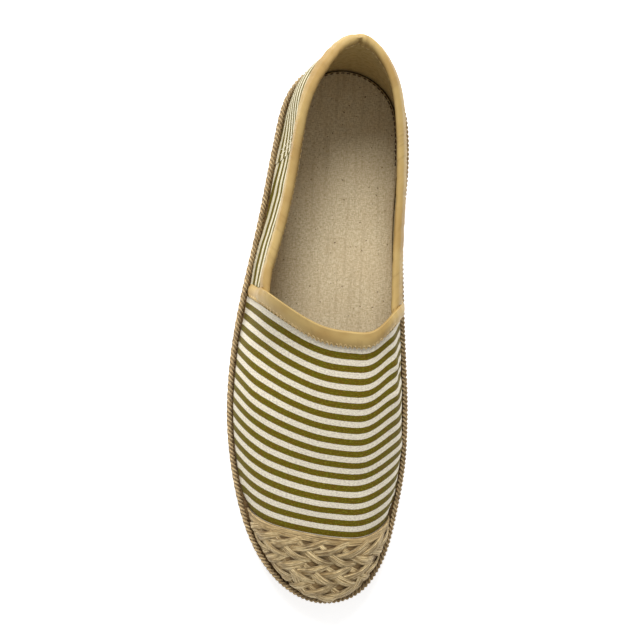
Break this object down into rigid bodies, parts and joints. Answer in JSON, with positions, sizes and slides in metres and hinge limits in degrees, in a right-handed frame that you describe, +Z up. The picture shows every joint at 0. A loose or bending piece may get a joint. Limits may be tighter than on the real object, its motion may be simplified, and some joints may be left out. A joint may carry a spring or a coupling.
{
  "type": "espadrille",
  "caption": "Slip-on espadrille for the right foot: striped canvas upper, bound collar, plaited jute toe cap, rope welt on a jute-wound platform and a thin rubber outsole.",
  "frame": {"origin": "middle of the shoe's length and width, on the floor under the sole", "axes": "+Z up, +Y toward the heel, -Y toward the toe, +X toward the big-toe side"},
  "size_m": [0.0848, 0.25, 0.0743],
  "materials": {
    "outsole_rubber": "matt crepe-like brown rubber",
    "jute_platform": "wound jute braid, coarse and matt",
    "jute_rope": "twisted two-strand jute cord",
    "insole_linen": "plain-woven natural linen with dark flecks",
    "striped_canvas": "woven cotton canvas, narrow olive and off-white stripes, cream lining",
    "jute_plait": "plaited jute in three rows across the toe",
    "binding_tape": "tan synthetic leather tape with a soft sheen and one stitch row"
  },
  "bodies": {
    "root": {"outsole": "outsole_rubber", "midsole": "jute_platform", "rope_welt": "jute_rope", "insole": "insole_linen", "upper": "striped_canvas", "toe_cap": "jute_plait", "throat_binding": "binding_tape", "collar_binding": "binding_tape"}
  },
  "joints": []
}
